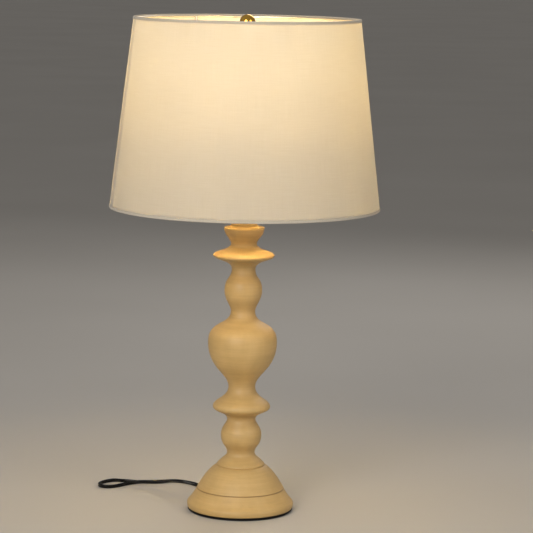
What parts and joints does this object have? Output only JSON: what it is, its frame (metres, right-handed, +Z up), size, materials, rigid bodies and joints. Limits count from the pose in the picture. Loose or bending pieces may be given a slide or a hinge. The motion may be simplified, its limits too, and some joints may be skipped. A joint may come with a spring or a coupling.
{
  "type": "table lamp with shade",
  "caption": "Table lamp: turned wooden column on a weighted bell base, tapered drum shade of light linen held by a harp and ball finial, black flat flex with plug.",
  "frame": {"origin": "on the table, under the column's axis", "axes": "+Z up; -Y towards the front; harp in the X-Z plane; cord leaves at the left rear (-X, +Y)"},
  "size_m": [0.376, 0.3767, 0.6567],
  "materials": {
    "felt_black": "felt",
    "foot_black": "satin",
    "turned_wood": "satin",
    "cast_iron": "raw",
    "zinc_steel": "zinc plated",
    "black_rubber": "matte",
    "lead_insulation": "matte",
    "brass": "polished",
    "satin_nickel": "satin",
    "liner_card": "matte",
    "phenolic_black": "gloss",
    "shell_aluminium": "satin",
    "steel_shaft": "bright",
    "bulb_frosted": "frosted",
    "bulb_stem": "clear",
    "shade_liner": "matte",
    "shade_linen": "woven linen",
    "shade_tape": "woven tape",
    "cord_black": "gloss",
    "blade_brass": "bright"
  },
  "bodies": {
    "base": {"felt_pad": "felt_black", "foot_plate": "foot_black", "plate_screws": "zinc_steel", "base_bell": "turned_wood", "column": "turned_wood", "ballast_weight": "cast_iron", "pipe_washer": "zinc_steel", "pipe_nut": "zinc_steel", "threaded_pipe": "zinc_steel", "strain_relief": "black_rubber", "lead_wires": "lead_insulation", "check_ring": "brass", "brass_neck": "brass", "harp_saddle": "satin_nickel", "socket_cap": "brass", "cap_set_screw": "zinc_steel", "socket_shell": "brass", "socket_insulator": "liner_card", "socket_body": "phenolic_black", "terminal_screws": "zinc_steel", "socket_screw_shell": "shell_aluminium", "centre_contact": "brass", "cord_tube": "cord_black", "cord_coil": "cord_black", "cord_tail": "cord_black", "cord_tie": "cord_black", "plug_body": "cord_black", "plug_blades": "blade_brass"},
    "knob": {"knob_shaft": "steel_shaft", "switch_knob": "phenolic_black"},
    "bulb_cap": {"bulb_screw_shell": "shell_aluminium", "bulb_cap_glass": "phenolic_black", "bulb_contact": "shell_aluminium"},
    "bulb": {"bulb_glass": "bulb_frosted", "bulb_stem": "bulb_stem"},
    "harp": {"harp_loop": "satin_nickel"},
    "ferrule_left": {"ferrule_left": "brass"},
    "ferrule_right": {"ferrule_right": "brass"},
    "stud": {"harp_stud": "satin_nickel"},
    "shade": {"spider_fitter": "satin_nickel", "bottom_ring": "satin_nickel", "shade_liner": "shade_liner", "shade_fabric": "shade_linen", "top_trim": "shade_tape", "bottom_trim": "shade_tape"},
    "finial_seat": {"finial_base": "brass"},
    "finial": {"finial_ball": "brass"}
  },
  "joints": [
    {"name": "switch_knob_turn", "type": "hinge", "parent": "base", "child": "knob", "pos_m": [0, -0.02, 0.431], "axis": [0, -1, 0], "continuous": true},
    {"name": "bulb_rise", "type": "slide", "parent": "base", "child": "bulb_cap", "axis": [0, 0, 1], "range_m": [0, 0.01815]},
    {"name": "bulb_turn", "type": "hinge", "parent": "bulb_cap", "child": "bulb", "pos_m": [0, 0, 0.5], "axis": [0, 0, 1], "range_deg": [0, 1800]},
    {"name": "harp_lift", "type": "slide", "parent": "base", "child": "harp", "axis": [0, 0, 1], "range_m": [0, 0.03]},
    {"name": "ferrule_left_slide", "type": "slide", "parent": "harp", "child": "ferrule_left", "axis": [0, 0, 1], "range_m": [0, 0.011]},
    {"name": "ferrule_right_slide", "type": "slide", "parent": "harp", "child": "ferrule_right", "axis": [0, 0, 1], "range_m": [0, 0.011]},
    {"name": "shade_swivel", "type": "hinge", "parent": "harp", "child": "stud", "pos_m": [0, 0, 0.622], "axis": [0, 0, 1], "continuous": true},
    {"name": "shade_lift", "type": "slide", "parent": "stud", "child": "shade", "axis": [0, 0, 1], "range_m": [0, 0.27]},
    {"name": "finial_rise", "type": "slide", "parent": "shade", "child": "finial_seat", "axis": [0, 0, 1], "range_m": [0, 0.008]},
    {"name": "finial_turn", "type": "hinge", "parent": "finial_seat", "child": "finial", "pos_m": [0, 0, 0.646], "axis": [0, 0, 1], "range_deg": [0, 3062]}
  ],
  "couplings": [
    {"joint": "bulb_rise", "follows": "bulb_turn", "m_per_rad": 0.00057757},
    {"joint": "finial_turn", "follows": "finial_rise", "rad_per_m": 6679.1}
  ]
}
